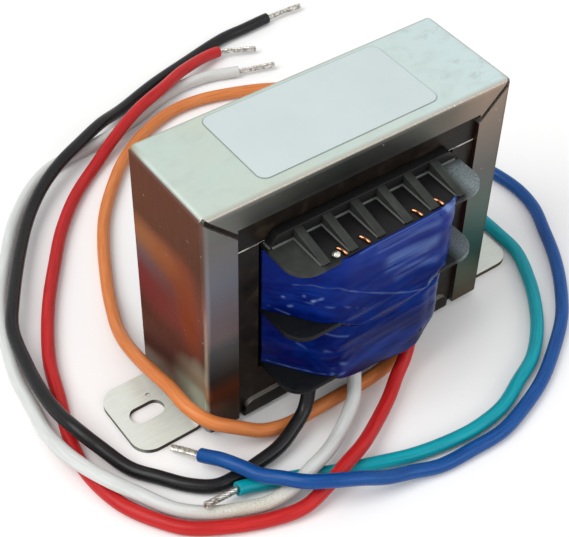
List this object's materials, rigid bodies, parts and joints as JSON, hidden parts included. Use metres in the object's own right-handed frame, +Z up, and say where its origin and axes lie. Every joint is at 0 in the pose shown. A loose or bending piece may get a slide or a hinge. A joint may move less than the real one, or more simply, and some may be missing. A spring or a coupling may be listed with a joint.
{
  "type": "chassis mount power transformer",
  "caption": "Laminated E-I core transformer in a folded channel bracket with slotted feet, split ribbed bobbin and six flying leads",
  "frame": {"origin": "centre of the footprint of the transformer without its leads, on the surface it stands on", "axes": "+X along the row of the two feet, +Y from the face with the ribs to the other face, +Z up"},
  "size_m": [0.125, 0.1394, 0.0576],
  "materials": {
    "zinc_steel": "satin",
    "dark_steel": "satin",
    "silicon_steel": "satin",
    "black_nylon": "matte",
    "enamelled_copper": "gloss",
    "blue_tape": "gloss",
    "solder": "satin",
    "bare_label": "satin",
    "black_insulation": "gloss",
    "white_insulation": "gloss",
    "red_insulation": "gloss",
    "orange_insulation": "gloss",
    "blue_insulation": "gloss",
    "green_insulation": "gloss",
    "tinned_strand": "satin"
  },
  "bodies": {
    "root": {"channel_bracket": "zinc_steel", "bottom_keeper": "dark_steel", "e_laminations": "silicon_steel", "i_laminations": "silicon_steel", "bobbin": "black_nylon", "primary_winding": "enamelled_copper", "secondary_winding": "enamelled_copper", "tape_wrap": "blue_tape", "copper_tail_1": "enamelled_copper", "copper_tail_2": "enamelled_copper", "copper_tail_3": "enamelled_copper", "copper_tail_4": "enamelled_copper", "solder_bead": "solder", "label": "bare_label", "black_lead": "black_insulation", "white_lead": "white_insulation", "red_lead": "red_insulation", "orange_lead": "orange_insulation", "blue_lead": "blue_insulation", "green_lead": "green_insulation", "black_lead_end": "tinned_strand", "white_lead_end": "tinned_strand", "red_lead_end": "tinned_strand", "orange_lead_end": "tinned_strand", "blue_lead_end": "tinned_strand", "green_lead_end": "tinned_strand"}
  },
  "joints": []
}
